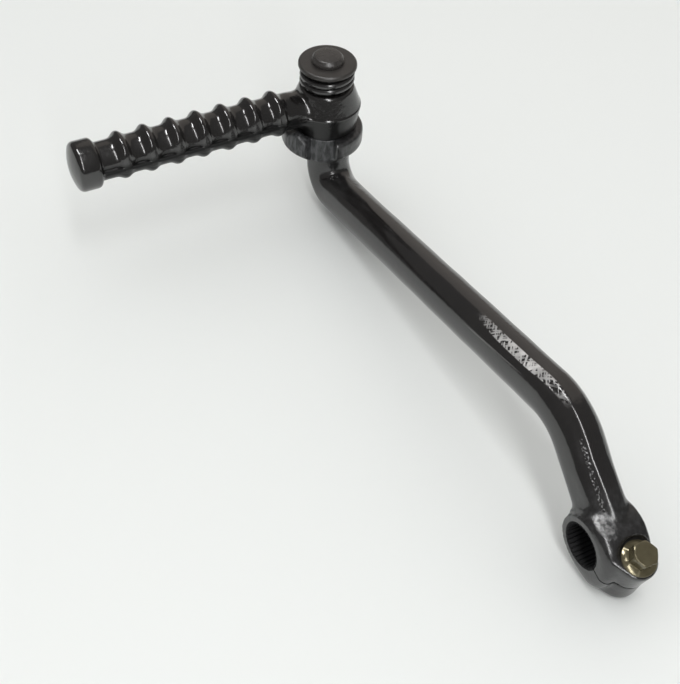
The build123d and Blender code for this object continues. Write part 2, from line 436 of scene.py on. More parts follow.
# %% What the moves are made of
def neighbour_pull(points):
    """From each point to the middle of the points that share an edge with it."""
    here, there = np.concatenate([arm_ends, arm_ends[:, ::-1]]).T
    count = np.bincount(here, minlength=len(points))
    sums = [np.bincount(here, weights=points[there, k], minlength=len(points)) for k in range(3)]
    return np.stack(sums, axis=-1) / count[:, None] - points


def point_normals(points):
    """The mean of the normals of the faces round each point."""
    a, b, c, d = (points[arm_quads[:, k]] for k in range(4))
    square = np.cross(c - a, d - b)
    sums = [
        sum(np.bincount(arm_quads[:, k], weights=square[:, axis], minlength=len(points)) for k in range(4))
        for axis in range(3)
    ]
    normal = np.stack(sums, axis=-1)
    return normal / np.linalg.norm(normal, axis=1, keepdims=True)


def rise(value, low, high):
    """A smooth rise from 0 at low to 1 at high."""
    share = np.clip((value - low) / (high - low), 0, 1)
    return share * share * (3 - 2 * share)


def hump(value, start, full, fading, end):
    """A smooth rise from 0 at start to 1 at full, and a smooth fall from fading to 0 at the end."""
    return rise(value, start, full) * (1 - rise(value, fading, end))


print("each point has", round(2 * len(arm_ends) / len(arm_points), 2), "neighbours on average")

# %% [markdown]
# ## Softening the forging
# A plain average would shrink the bar, so the points are pulled in and pushed back in turn, which removes
# only the small cubes' steps. Near the ring and below the collar a second pass moves points outwards where
# the surface is hollow, until the crease has become a fillet.

# %% Smooth the steps, fill the creases
half_step = 0.5
push_back = 0.53


def softened(points, rounds):
    """Rounds of half a step towards the neighbours and slightly more than that back."""
    for _ in range(rounds):
        points = points + half_step * neighbour_pull(points)
        points = points - push_back * neighbour_pull(points)
    return points


def filled(points, where, rounds):
    """Rounds that lift hollow places along their normal by half of the neighbours' pull."""
    for _ in range(rounds):
        normal = point_normals(points)
        hollow = np.clip((neighbour_pull(points) * normal).sum(1), 0, None)
        points = points + (half_step * hollow * where)[:, None] * normal
    return points


bore_gap = np.hypot(arm_points[:, 0], arm_points[:, 2])
ring_crease = rise(arm_points[:, 0], -2.0, 6.0) * hump(bore_gap, 9.5, 11.5, 24, 30)
collar_crease = hump(arm_points[:, 2], 2.0, 8.0, 12.5, 14.5) * rise(arm_points[:, 0], 180, 186)
arm_points = softened(arm_points, 10)
arm_points = filled(arm_points, np.maximum(ring_crease, 0.6 * collar_crease), 60)
arm_points = softened(arm_points, 4)
print("creases filled at", int((ring_crease > 0.5).sum()), "points by the ring")

# %% [markdown]
# ## A rounder bar
# The drawing gives the bar eight sides, but the forging's long run is nearly round, and only the short leg
# by the ring keeps a sharp ridge. A new round bar would have to be joined to the ring again, so each
# point's distance from the middle line moves part of the way to one radius.

# %% Round the long run
bar_radius = 8.62
ridge_roll = 11
along, over, across, roll = bar_coordinates(arm_points)
reach = np.maximum(np.hypot(over, across), 1)
long_run = hump(along, 44, 80, 192, 206)
off_ridge = rise(np.abs(roll - ridge_roll), 20, 40) * hump(along, 20, 28, 44, 80)
share = (0.75 * long_run + 0.55 * off_ridge) * (reach < 11)
stretch = share * (bar_radius - reach) / reach
heading = direction[np.clip(np.searchsorted(even_run, along), 0, stations - 1)]
arm_points += places(-stretch * over * heading[:, 1], stretch * across, stretch * over * heading[:, 0])
print("bar rounded at", int((share > 0.3).sum()), "points")

# %% [markdown]
# ## The ring's broad edge
# A die needs round corners, and the ring's front edge has the broadest one on the arm. A bevel on the net
# would be lost among its small faces. So each point beyond a quarter circle, drawn in the plane of height
# and distance from the ring's middle, is drawn back on to it. The clamp leans, so the ring is measured
# along its slit.

# %% Round the ring's front
clamp_tilt = radians(19)
ring_shift = 1.5
ring_radius = 13.2
ring_face = 9.0
edge_round = 3.6


def clamp_axes(points):
    """Distances along the clamp's slit and square to it, which lean by the clamp's tilt."""
    x, z = points[:, 0], points[:, 2]
    return x * np.cos(clamp_tilt) + z * np.sin(clamp_tilt), z * np.cos(clamp_tilt) - x * np.sin(clamp_tilt)


def from_clamp(x, z):
    """Such distances turned back to the part's own X and Z."""
    return x * np.cos(clamp_tilt) - z * np.sin(clamp_tilt), x * np.sin(clamp_tilt) + z * np.cos(clamp_tilt)


clamp_x, clamp_z = clamp_axes(arm_points)
ring_x = clamp_x + ring_shift
ring_gap = np.maximum(np.hypot(ring_x, clamp_z), 1)
edge_out = ring_gap - (ring_radius - edge_round)
edge_up = arm_points[:, 1] - (ring_face - edge_round)
edge_gap = np.maximum(np.hypot(edge_out, edge_up), 0.1)
at_edge = (edge_out > 0) & (edge_up > 0) & (ring_gap < ring_radius + 0.2) & (edge_gap > edge_round)
draw_back = np.where(at_edge, 1 - edge_round / edge_gap, 0)
inward = draw_back * edge_out / ring_gap
back_x, back_z = from_clamp(inward * ring_x, inward * clamp_z)
arm_points -= places(back_x, draw_back * edge_up, back_z)
print("ring edge rounded at", int(at_edge.sum()), "points")

# %% [markdown]
# ## Jaw and slit
# The lower jaw bulges below the slit, and the bolt has pulled the slit shut to a line. A push outwards,
# strongest at one angle, gives the bulge, which stops at the floor. The slit's walls are brought together
# by a curve that maps each distance from the slit to a smaller one and leaves all beyond the lug alone.

# %% Bulging jaw, closed slit
jaw_turn = 234
jaw_spread = 22
jaw_swell = 1.5
floor_gap = 0.05
open_slit = [0.0, 0.6, 2.2, 99.0]
shut_slit = [0.0, 0.12, 2.2, 99.0]


def relaxed(points, where, rounds):
    """Rounds of half a step towards the neighbours' middle, only where the weight is above nothing."""
    for _ in range(rounds):
        points = points + (half_step * where)[:, None] * neighbour_pull(points)
    return points


turn = np.degrees(np.arctan2(arm_points[:, 2], arm_points[:, 0])) % 360
bore_gap = np.hypot(arm_points[:, 0], arm_points[:, 2])
jaw = np.exp(-(((turn - jaw_turn) / jaw_spread) ** 2)) * rise(bore_gap, 9.5, 13.0) * (arm_points[:, 0] < 8)
arm_points[:, [0, 2]] *= (1 + jaw_swell * jaw / np.maximum(bore_gap, 1))[:, None]
arm_points[:, 2] = np.maximum(arm_points[:, 2], mm_per_m * solid_box[0].z + floor_gap)
clamp_x, clamp_z = clamp_axes(arm_points)
lug = rise(-clamp_x, 2.5, 5.5) * rise(bore_gap, 9.6, 11.0) * (arm_points[:, 0] < 0)
off_slit = np.abs(clamp_z)
arm_points = relaxed(arm_points, 0.8 * lug * rise(off_slit, 0.7, 1.5), 14)
close_by = np.sign(clamp_z) * (np.interp(off_slit, open_slit, shut_slit) - off_slit) * (clamp_x < 0)
shut_x, shut_z = from_clamp(0.0, close_by)
arm_points += places(shut_x, 0.0, shut_z)
print("slit closed by up to", round(float(np.abs(close_by).max()), 2), "mm at each wall")

# %% [markdown]
# ## Foot, bend and post
# The leg's foot runs into the ring without a crease, its bend has no facet, the post under the collar is a
# little stouter than the bar, and the elbow's inner side is one soft curve. Each is a bell or a hump of
# weight, and the points under it are relaxed or pushed, so that nothing has to be joined on.

# %% Soft foot and bend, stouter post
leg_foot = (-0.5, 3.0, 12.7)
foot_spread = (5.5, 4.5, 2.6)


def bell(points, middle, spread, flatness=1):
    """1 at the middle, falling like a bell with its own spread along X, Y and Z, or a flatter one."""
    return np.exp(-((((points - middle) / spread) ** 2).sum(1) ** flatness))


arm_points = relaxed(arm_points, bell(arm_points, leg_foot, foot_spread), 40)
along, over, across, roll = bar_coordinates(arm_points)
arm_points = relaxed(arm_points, hump(along, 30, 36, 44, 50) * hump(roll, 18, 26, 60, 80), 30)
outer_end = arm_points[:, 0] > 150
post = rise(along, 186, 206) * (1 - rise(arm_points[:, 2], 6.5, 11.0)) * outer_end
arm_points[:, 1] += post * (0.085 * across - 0.3)
inner_elbow = hump(along, 190, 200, 226, 232) * rise(over, 0.0, 4.0) * outer_end
arm_points = relaxed(arm_points, inner_elbow, 60)
print("post stouter at", int((post > 0.5).sum()), "points")

# %% [markdown]
# ## The collar's lobe
# One lobe of the collar rises towards the pedal's root. It could be a lump of its own, but its joint would
# show. So a hump over the angle round the pin lifts it, and the collar's edges are relaxed afterwards,
# because the die left none of them sharp.

# %% Raised lobe
lobe_rise = 2.4
from_pin = arm_points[:, :2] - pivot[:2]
pin_gap = np.hypot(*from_pin.T)
pin_turn = np.degrees(np.arctan2(from_pin[:, 1], from_pin[:, 0])) % 360
lobe = hump(pin_turn, 92, 108, 112, 128) * rise(pin_gap, 13.2, 14.0)
arm_points[:, 2] += lobe_rise * lobe * rise(arm_points[:, 2], 16.0, 22.0)
collar = rise(arm_points[:, 2], 9.0, 10.5) * rise(pin_gap, 11.6, 12.2) * (arm_points[:, 0] > 180)
arm_points = relaxed(arm_points, 0.7 * collar, 6)
print("lobe raised at", int((lobe > 0.5).sum()), "points")

# %% [markdown]
# ## Room for the serrations
# The net is too coarse for the fine teeth in the bore, so the wall is moved back to a plain round hole, its
# mouth is squared, and a toothed lining takes its place below.

# %% Open the bore
bore_room = 8.5
mouth_reach = 10.6
mouth_depth = 8.0
bore_gap = np.hypot(arm_points[:, 0], arm_points[:, 2])
arm_points[:, [0, 2]] *= np.maximum(bore_room / np.maximum(bore_gap, 1), 1)[:, None]
mouth = (bore_gap < mouth_reach) & (np.abs(arm_points[:, 1]) > mouth_depth)
arm_points[:, 1] = np.where(mouth, np.sign(arm_points[:, 1]) * ring_face, arm_points[:, 1])
print("bore opened at", int((bore_gap < bore_room).sum()), "points")

# %% [markdown]
# ## The hand of the forge
# A forged face wanders by a tenth of a millimetre or so, which makes reflections flow. A pad beside the
# bolt, a line along the ridge's left and a burr under the collar are rough with scale. Waves of two sizes
# push the points along their normals. What the paint has to know of each point is stored on the net.

# %% Ripple the faces, store the coordinates
ripple_depth = 0.07
pad_middle, pad_spread = (-3.2, 4.4, 12.3), (5.6, 3.2, 3.0)
burr_middle, burr_spread = (196.2, 0.4, 2.6), (2.4, 2.0, 2.4)
scale_roll, scale_spread = 25, 5
lump_size = 1.1
far_from_slit = 9.0


def lumps(points, size):
    """Three sine waves in slanted directions multiplied: a lumpy field from -1 to 1 of about this size."""
    x, y, z = points.T / size
    first = np.sin(2.1 * x + 1.3 * y + 0.7 * np.sin(1.7 * z))
    return first * np.sin(2.3 * y - 1.1 * z + 0.9 * np.sin(1.9 * x)) * np.sin(1.9 * z + 1.7 * x + 0.5)


along, over, across, roll = bar_coordinates(arm_points)
ripple = np.sin(along / 5.3 + 1.3 * np.sin(across / 4.1)) * np.sin(over / 3.7 + along / 11.0 + 0.8)
pad = bell(arm_points, pad_middle, pad_spread, flatness=2)
burr = bell(arm_points, burr_middle, burr_spread)
scale_line = np.exp(-(((roll - scale_roll) / scale_spread) ** 2)) * hump(along, 6, 12, 30, 37) * (over > 4)
rough = np.clip(scale_line + burr, 0, 1)
push = ripple_depth * (ripple - 1) * hump(along, 20, 30, 225, 235)
push += (0.16 * pad + 0.04 * scale_line + 0.3 * burr) * lumps(arm_points, lump_size)
cast_lobe = collar * (0.35 + 0.65 * hump(pin_turn, 85, 95, 168, 173))
dull_post = 0.35 * rise(arm_points[:, 2], -3.0, 9.0) * (arm_points[:, 0] > 185)
# The ring's front gets a little of the collar's grey: a painted reflection of the floor, and a duller gloss.
ring_painted_sheen = 0.2 * (1 - rise(bore_gap, 15.0, 22.0))
matte_and_sheen = np.max([cast_lobe, dull_post, ring_painted_sheen], axis=0)
clamp_x, clamp_z = clamp_axes(arm_points)
slit = np.where(clamp_x < 0, np.abs(clamp_z), far_from_slit)
arm_points += push[:, None] * point_normals(arm_points)
arm.data.vertices.foreach_set("co", (arm_points / mm_per_m).ravel())
marks = {"along": along, "over": over, "roll": roll, "rough": rough, "pad": pad, "matte_and_sheen": matte_and_sheen, "slit": slit}
for name, values in marks.items():
    store = arm.data.attributes.new(name, "FLOAT", "POINT")
    store.data.foreach_set("value", values.astype(np.float32))
arm.data.update()
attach(arm, "arm")
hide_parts("kick_arm")
print("forged arm from", arm_points.min(0).round(1), "to", arm_points.max(0).round(1))

# %% [markdown]
# ## The serrated bore
# The shaft's fine teeth bite into thirty grooves in the bore, and the clamp's slit cuts through them.
# Cutting thirty grooves one by one would work, but a grid of height by angle does it at once: going round,
# the radius steps out at each groove; going across, the grid runs down the wall and back behind it, so the
# lining is a closed strip.

# %% Toothed lining
bore_radius = 7.6
lining_radius = 8.7
groove_depth = 0.5
grooves = 30
groove_half = radians(2.3)
groove_flank = radians(1.2)
slit_angle = np.pi + clamp_tilt
slit_half = radians(3.8)
lining_back = np.array([0.3, 0.1, 0.0, 0.0, 0.0, 0.1, 0.3, 1.0, 1.0, 0.3])
lining_height = np.array([8.97, 8.85, 8.6, 0.0, -8.6, -8.85, -8.97, -8.97, 8.97, 8.97])


def toothed_lining(columns=900):
    """Inner radius of a flat tooth and a sloped groove in each of the equal steps of angle."""
    angle = slit_angle + np.linspace(slit_half, 2 * np.pi - slit_half, columns)
    pitch = 2 * np.pi / grooves
    off_groove = np.abs((angle + pitch / 2) % pitch - pitch / 2)
    inner = bore_radius + groove_depth * np.clip((groove_half - off_groove) / groove_flank, 0, 1)
    radius = inner + (lining_radius - inner) * lining_back[:, None]
    grid = places(radius * np.cos(angle), lining_height[:, None], radius * np.sin(angle))
    middles = np.broadcast_to(grid.mean(0), grid.shape)
    return np.concatenate([middles[:, :1], grid, middles[:, -1:]], axis=1)


lining = piece_from_grids("bore_serrations", [toothed_lining()])
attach(lining, "arm")

# %% [markdown]
# ## The grip's outline
# Seven ribs and a knob were drawn in a two-part die. Rings could be stacked on a rod, but the real ribs
# swell from it in one flow. So the outline along the grip is a plain radius with a bell-shaped bead at each
# rib, and ends in a rounded knob with a shallow dome.

# %% Ribs, neck and knob
first_rib = 23.1
rib_pitch = 10.7
rib_count = 7
rib_radius = 9.6
valley_radius = 7.5
bead_half = 2.15
bead_power = 2.3
neck_end = 97.25
neck_length = 1.2
knob_radius = 9.8
knob_end = 105.45
pedal_end = 107.65


def rib_outline(run):
    """A plain round bar with a bead at each rib, whose height falls off like a bell with a flat top."""
    half = rib_pitch / 2
    off_rib = np.abs((run - first_rib + half) % rib_pitch - half)
    beyond = (run < first_rib - half) | (run > first_rib + rib_pitch * (rib_count - 0.5))
    bead = np.exp(-((off_rib / bead_half) ** bead_power))
    return valley_radius + np.where(beyond, 0, (rib_radius - valley_radius) * bead)


def grip_outline():
    """Distance along the pedal and radius there, from the root valley to the middle of the knob's end."""
    run = np.linspace(first_rib - rib_pitch / 2, neck_end - neck_length, 300)
    ribs = np.stack([run, rib_outline(run)], axis=-1)
    bulge = pedal_end - knob_end
    dome_radius = (knob_radius**2 + bulge**2) / (2 * bulge)
    slope = np.linspace(np.arcsin(knob_radius / dome_radius), 0, 12)
    dome_run = pedal_end - dome_radius + dome_radius * np.cos(slope)
    dome = np.stack([dome_run, dome_radius * np.sin(slope)], axis=-1)
    neck = [(neck_end - neck_length, valley_radius), (neck_end, valley_radius)]
    knob = neck + [(neck_end, knob_radius), (knob_end, knob_radius), dome[2]]
    return np.concatenate([ribs, rounded(knob, [1.1, 1.7, 2.2], steps=10), dome[3:]])


print("grip outline of", len(grip_outline()), "points, one rib each", rib_pitch, "mm")

# %% [markdown]
# ## The grip's section
# Round the grip, the section is that circle cut by the die's sloping sides, with a thin land left where the
# two halves of the die met, and the ribs stand lower underneath. So the radius is a smooth least of circle
# and slope, then a smooth greatest of that and the land, which needs no cutting of meshes.

# %% Drafted sides and parting land
half_width = 9.15
draft = np.tan(radians(15))
draft_soft = 0.9
land_half = 0.7
land_reach = 8.8
land_soft = 0.22
lower_ribs = 0.4
undrafted = 5.0


def smooth_least(first, second, soft):
    """The lesser of two lengths, with the corner between them rounded over this margin."""
    share = np.clip(0.5 + (second - first) / (2 * soft), 0, 1)
    return second + (first - second) * share - soft * share * (1 - share)


def section_radius(run, radius, angle):
    """The die's section at one place: a circle, its drafted sides and the land at the parting line."""
    sideways = np.abs(np.cos(angle))
    upward = np.abs(np.sin(angle))
    sloped = half_width / (sideways + draft * upward) + undrafted * (run > neck_end - 0.5)
    land = np.minimum(land_reach / np.maximum(sideways, 1e-6), land_half / np.maximum(upward, 1e-6))
    land = np.where(run > neck_end + 0.8, 0, land)
    below = np.clip(-3 * np.sin(angle), 0, 1) * (run < neck_end - 1.5)
    radius = radius - lower_ribs * below * (radius - valley_radius)
    trimmed = smooth_least(radius, sloped, draft_soft)
    return -smooth_least(-trimmed, -land, land_soft)


around = np.linspace(0, 2 * np.pi, 161)
grip_angle = around - 0.35 * np.sin(2 * around)
run, radius = grip_outline().T[..., None]
grip_radius = section_radius(run, radius, grip_angle)
grip_radius[-1] = 0
grip = places(grip_radius * np.cos(grip_angle), run, grip_radius * np.sin(grip_angle))
print("grip", grip.shape[:2], "points, widest", round(float(grip_radius.max()), 2), "mm")

# %% [markdown]
# ## From the grip to the hub
# The hub is a turned shape with straight draft below the parting line, a small ledge there and a cone above
# it. The grip's root spreads on to it like the foot of a tree. Each line of points leaves the hub along its
# surface and arrives in the direction of the grip. A cubic with those two ends and two directions is the
# fillet, so no blend has to be guessed.

# %% Hub and root fillet
axis_height = 33.2
hub_radius = 14.3
hub_low = 22.85 - axis_height
hub_high = 42.0 - axis_height
hub_low_radius = 12.6
hub_high_radius = 10.8
hub_ledge = 0.3
ledge_soft = 0.15
root_swing = radians(45)
root_middle = -0.7
root_rise = 7.8
root_square = 0.8
leave_length = 6.0
arrive_length = 10.0


def signed_power(value, exponent):
    """A value's size raised to a power, with its sign kept."""
    return np.sign(value) * np.abs(value) ** exponent


def hub_side(height):
    """Hub radius at a height over the parting line: straight draft below, a cone above, a ledge between."""
    below = hub_radius + (hub_radius - hub_low_radius) * height / -hub_low
    above = hub_radius - hub_ledge + (hub_high_radius - hub_radius + hub_ledge) * height / hub_high
    step = 1 / (1 + np.exp(-height / ledge_soft))
    return below + (above - below) * step


def on_hub(size):
    """Places on the hub's side along the root's rounded outline, drawn to this share of its size."""
    swing = size * root_swing * signed_power(np.cos(grip_angle), root_square)
    height = root_middle + size * root_rise * signed_power(np.sin(grip_angle), root_square)
    wide = hub_side(height)
    return places(wide * np.sin(swing), wide * np.cos(swing), height)


def root_fillet(rows=28):
    """Cubic from the hub, leaving along the hub's surface, to the grip's first row, along the grip."""
    start = on_hub(1.0)
    leave = on_hub(0.98) - start
    leave *= leave_length / np.linalg.norm(leave, axis=1, keepdims=True)
    arrive = np.array([0.0, arrive_length, 0.0])
    share = np.linspace(0, 1, rows)[:, None, None]
    from_start = 2 * share**3 - 3 * share**2 + 1
    with_leave = share**3 - 2 * share**2 + share
    with_arrive = share**3 - share**2
    return from_start * start + with_leave * leave + (1 - from_start) * grip[0] + with_arrive * arrive


root = root_fillet()
heel = np.broadcast_to([0.0, 6.0, 0.0], root[:1].shape)
grip_shell = np.concatenate([heel, root[:-1], grip])
print("root fillet", root.shape[:2], "points")

# %% [markdown]
# ## Hub, stop lug and the whole pedal
# The hub is carried round the pin, and under it a short lug runs in the collar's quadrant and stops the
# pedal. The lug could be a bevelled cube, but a ball whose sines and cosines are raised to a small power is
# a soft box at once, and reading its coordinates as radius, angle and height bends it round the pin.

# %% Turned hub, stop lug
pin_hole = 5.05
low_side = np.linspace(hub_low + 0.8, -1.2, 16)
ledge_side = np.linspace(-1.1, 1.1, 23)
high_side = np.linspace(1.3, hub_high - 1.4, 20)
side_heights = np.concatenate([low_side, ledge_side, high_side])
side_line = np.stack([hub_side(side_heights), side_heights], axis=-1)
hub_line = np.concatenate(
    [
        [(pin_hole, hub_low)],
        rounded([(9.0, hub_low), (hub_low_radius, hub_low), side_line[0]], [0.7]),
        side_line[1:-1],
        rounded([side_line[-1], (hub_high_radius, hub_high), (7.5, hub_high)], [1.5]),
        [(pin_hole, hub_high), (pin_hole, hub_low)],
    ]
)


def rounded_block(low, high, exponent=0.28, rows=33, columns=65):
    """A ball whose sines and cosines are raised to a small power, which squares it up to a soft box."""
    lift = np.linspace(-np.pi / 2, np.pi / 2, rows)[:, None]
    swing = np.linspace(-np.pi, np.pi, columns)
    wide = signed_power(np.cos(lift), exponent)
    x, y = (wide * signed_power(part, exponent) for part in (np.cos(swing), np.sin(swing)))
    ball = places(x, y, signed_power(np.sin(lift), exponent))
    low, high = np.asarray(low), np.asarray(high)
    return (low + high) / 2 + ball * (high - low) / 2


stop_reach, stop_turn, stop_height = np.moveaxis(
    rounded_block((10.65, radians(7.5), 16.6), (15.2, radians(33.5), 29.0)), -1, 0
)
stop = places(stop_reach * np.cos(stop_turn), stop_reach * np.sin(stop_turn), stop_height)
axis_place = (*pivot[:2], axis_height)
pedal_grids = [at(grip_shell, *axis_place), at(turned(hub_line, 160), *axis_place), at(stop, *pivot)]
pedal = piece_from_grids("ribbed_pedal", pedal_grids)
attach(pedal, "pedal")
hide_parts("folding_pedal")

# %% [markdown]
# ## Rivet and washer
# The pin's end is hammered over the washer, which leaves a low round head with a soft shoulder. The washer
# was punched, so its upper edge is drawn round. Cylinders with a bevel would have the same radius at every
# edge, so both are outlines of a few corners, each with its own, turned about the pin.

# %% Turned pin and washer
pin_radius = 5.0
pin_low = 6.6
washer_low = 50.64
washer_high = 52.34
washer_radius = 11.7
washer_hole = 5.1
rivet_head = [(6.5, washer_high), (6.4, 53.9), (5.3, 55.1), (3.6, 55.35), (0, 55.54)]
pin_corners = [(0, pin_low), (pin_radius, pin_low), (pin_radius, washer_high)] + rivet_head
pin_line = rounded(pin_corners, [0.6, 0.05, 0.3, 0.8, 0.8, 3.0])
rivet = piece_from_grids("riveted_pin", [at(turned(pin_line), *pivot)])
washer_outer = [(8, washer_low), (washer_radius, washer_low), (washer_radius, washer_high)]
washer_inner = [(washer_hole, washer_high), (washer_hole, washer_low), (8, washer_low)]
washer_line = rounded(washer_outer + washer_inner, [0.25, 0.95, 0.35, 0.2])
washer = piece_from_grids("punched_washer", [at(turned(washer_line), *pivot)])
for piece, node, slot in ((rivet, "pivot_pin", "black_steel"), (washer, "retaining_washer", "washer_steel")):
    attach(piece, "arm")
    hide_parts(node)

# %% [markdown]
# ## The coil
# A short coil presses the pedal into its detent. It is a wire's circle carried along a screw line. A curve
# with a bevel could do that too, but here the circle stays square to the line, and both ends are closed.

# %% Coil spring
wire_radius = 1.3
coil_radius = 9.7
coil_pitch = 2.7
coil_turns = 2.2
coil_low = 42.05


def coil(rows=260, columns=25):
    """A wire's circle, square to a screw line that climbs one pitch a turn, drawn to a point at both ends."""
    turn = np.linspace(0, 2 * np.pi * coil_turns, rows)
    climb = coil_pitch / (2 * np.pi)
    middle = places(coil_radius * np.cos(turn), coil_radius * np.sin(turn), climb * turn)
    outward = places(np.cos(turn), np.sin(turn), 0.0)
    onward = places(-coil_radius * np.sin(turn), coil_radius * np.cos(turn), climb)
    onward /= np.linalg.norm(onward, axis=1, keepdims=True)
    upward = np.cross(outward, onward)
    wire = np.linspace(0, 2 * np.pi, columns)[None, :, None]
    thickness = np.full(rows, wire_radius)
    thickness[[0, -1]] = 0
    ring = np.cos(wire) * outward[:, None] + np.sin(wire) * upward[:, None]
    return middle[:, None] + thickness[:, None, None] * ring


coil_grid = at(coil(), *pivot[:2], coil_low + wire_radius)
cut_end = coil_grid[1:2] + (coil_grid[0].mean(0) - coil_grid[1].mean(0))
spring = piece_from_grids("coil_spring", [np.concatenate([coil_grid[:1], cut_end, coil_grid[1:]])])
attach(spring, "arm")
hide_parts("detent_spring")

# %% [markdown]
# ## The pinch bolt
# A hexagon could be cut from a cylinder, but its outline is a radius too: the flat's distance divided by
# the cosine of the angle from its middle. The die that forms such a head leaves a cone at the top, so the
# radius is the lesser of hexagon and cone, and the flange spreads below it. The thread is a radius that
# falls and rises.

# %% Hexagon flange bolt
across_flats = 8.0
across_corners = 9.0
head_foot = 1.5
head_high = 6.0
flange_radius = 6.2
shank_radius = 2.97
shank_end = -16.0
chamfer_start = -15.4
thread_start = -9.0
thread_depth = 0.5
bolt_seat = (-12.0, bar_inset, 10.0)


def bolt_head(columns=193):
    """The lesser of a hexagon and a chamfer cone above the flange's curve, closed by a shallow dish."""
    angle = np.linspace(0, 2 * np.pi, columns)
    from_flat = (angle + np.pi / 6) % (np.pi / 3) - np.pi / 6
    hexagon = smooth_least(across_flats / 2 / np.cos(from_flat), across_corners / 2, 0.12)
    high = np.concatenate([np.linspace(head_foot, 4.9, 12), np.linspace(5.0, head_high, 16)])
    cone = 3.75 + (head_high - high) * 1.9
    sides = smooth_least(hexagon, cone[:, None], 0.18)
    foot = rounded([(0, 0.0), (flange_radius, 0.0), (flange_radius, 0.7), (4.3, head_foot)], [0.25, 0.35])
    flange = np.maximum(foot[:, :1], np.where(foot[:, 1:] > 1.2, hexagon, 0))
    dish = np.array([[0.93], [0.6], [0.0]]) * sides[-1:]
    radius = np.concatenate([flange, sides, dish])
    height = np.concatenate([foot[:, 1], high, [head_high, head_high - 0.05, head_high - 0.1]])
    return places(radius * np.cos(angle), radius * np.sin(angle), height[:, None])


def bolt_shank(rows=200, columns=49):
    """A radius that falls and rises once in each millimetre, shifted by the angle, with a chamfer below."""
    height = np.linspace(0.2, shank_end, rows)[:, None]
    angle = np.linspace(0, 2 * np.pi, columns)
    phase = (height + angle / (2 * np.pi)) % 1.0
    groove = np.clip(1.15 - np.abs(2 * phase - 1) * 1.3, 0, 1) * (height < thread_start)
    chamfer = shank_radius - (chamfer_start - height) * 0.9
    thread = np.where(height < chamfer_start, chamfer, shank_radius - thread_depth * groove)
    thread[[0, -1]] = 0
    return places(thread * np.cos(angle), thread * np.sin(angle), height)


def in_clamp(grid):
    """The clamp leans back by its tilt about the shaft, and the bolt stands on the lug's seat."""
    x, y, z = np.moveaxis(at(grid, *bolt_seat), -1, 0)
    lean_x, lean_z = from_clamp(x, z)
    return places(lean_x, y, lean_z)


bolt = piece_from_grids("flange_bolt", [in_clamp(bolt_head()), in_clamp(bolt_shank())])
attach(bolt, "arm")
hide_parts("pinch_bolt")

# %% [markdown]
# ## The worn ridge
# Along the arm's top ridge the flash was ground off in slanting strokes, and the paint has worn away from
# them. A drawn picture could show that, but noise is enough: two sets of it, each stretched along one slant
# of the distance along the bar and the arc round it. A band beside the ridge, fading at its ends, holds
# them. It shifts a little round the bar in the middle of its length.

# %% Strokes of bare steel
paint = Finish("arm_black_paint")
mm_per_degree = 0.15
stroke_size = 1.1
stroke_stretch = 0.16
ridge_degrees = 15.0
band_shift = 9.0
run_mm = paint.attribute("along")
roll_degrees = paint.attribute("roll")
patch = paint.noise(4.0, detail=3.0)
uphill = run_mm + roll_degrees * mm_per_degree
downhill = run_mm - roll_degrees * mm_per_degree
left_place = paint.vector(uphill, downhill * stroke_stretch, 0.0)
right_place = paint.vector(uphill * stroke_stretch, downhill, 7.0)
band_roll = roll_degrees - ridge_degrees - band_shift * paint.between(run_mm, 48.0, 90.0, 16.0)
band = paint.between(band_roll, -10.0, 9.0, 5.0) * paint.fade(paint.attribute("over"), 3.0, 5.0)
length = paint.fade(run_mm, 38.0, 60.0) * (1 - paint.fade(run_mm, 66.0, 98.0))
level = 0.58 - 0.08 * length - 0.05 * patch
left_strokes = paint.fade(paint.noise(stroke_size, 1.0, left_place) - level, -0.05, 0.06)
right_strokes = paint.fade(paint.noise(stroke_size, 1.0, right_place) - level, -0.05, 0.06)
strokes = left_strokes + (1 - left_strokes) * right_strokes
worn = strokes * paint.fade(band * length, 0.03, 0.22)
steel = paint.blend(patch * length, (0.15, 0.147, 0.145), (1.0, 0.985, 0.97))
# A thin light line along the left shoulder is a painted highlight, the glint of a small ridge there.
line_roll = roll_degrees - run_mm * 0.2 - 41.0
painted_shoulder_highlight = 0.7 * paint.between(line_roll, -1.2, 1.2, 1.6) * paint.between(run_mm, 62.0, 92.0, 6.0)
print("worn ridge", len(paint.tree.nodes), "nodes")

# %% [markdown]
# ## Painted glints, bare pad, matte collar and slit shadow
# Specks of light grey beside the ridge and at the burr are painted glints of the lamp on rough scale. The pad
# by the bolt is bare ground steel, and its light blotches are partly painted glints. The collar is a dull
# forged skin with upright streaks, and a little of that grey lightens the ring's front as a painted
# reflection of the floor. The closed slit is a dark line of painted shadow. Each mask was stored on the net,
# and noise of the right size breaks it up.

# %% Masks for scale, pad, collar and slit
bare_and_glints = paint.attribute("pad")
matte_and_sheen_weight = paint.attribute("matte_and_sheen")
grain = paint.noise(0.35)
blotch = paint.fade(paint.noise(1.8, detail=3.0), 0.38, 0.62)
# Painted highlight: light grey specks on the rough scale stand in for the lamp's glints.
painted_glint_specks = paint.fade(paint.noise(0.7), 0.53, 0.66) * paint.fade(paint.attribute("rough"), 0.25, 0.7)
# Painted shadow: the closed slit's gap is drawn as a near-black, dull, metallic line.
painted_slit_shadow = 1 - paint.fade(paint.attribute("slit"), 0.16, 0.34)
streaks = paint.fade(paint.noise(1.0, 3.0, paint.stretched(0.7, 0.7, 0.2)), 0.38, 0.68)
# Dull forged grey with upright streaks on the collar, and a little of it on the ring's front as painted
# reflection.
forged_skin_and_sheen = paint.blend(streaks, (0.014, 0.015, 0.016), (0.085, 0.087, 0.091))
# The pad is bare ground steel, and its light blotches are partly painted glints.
bare_steel_and_glints = paint.blend(blotch, (0.04, 0.04, 0.041), (0.21, 0.21, 0.21))
print("with speckles and bare metal", len(paint.tree.nodes), "nodes")
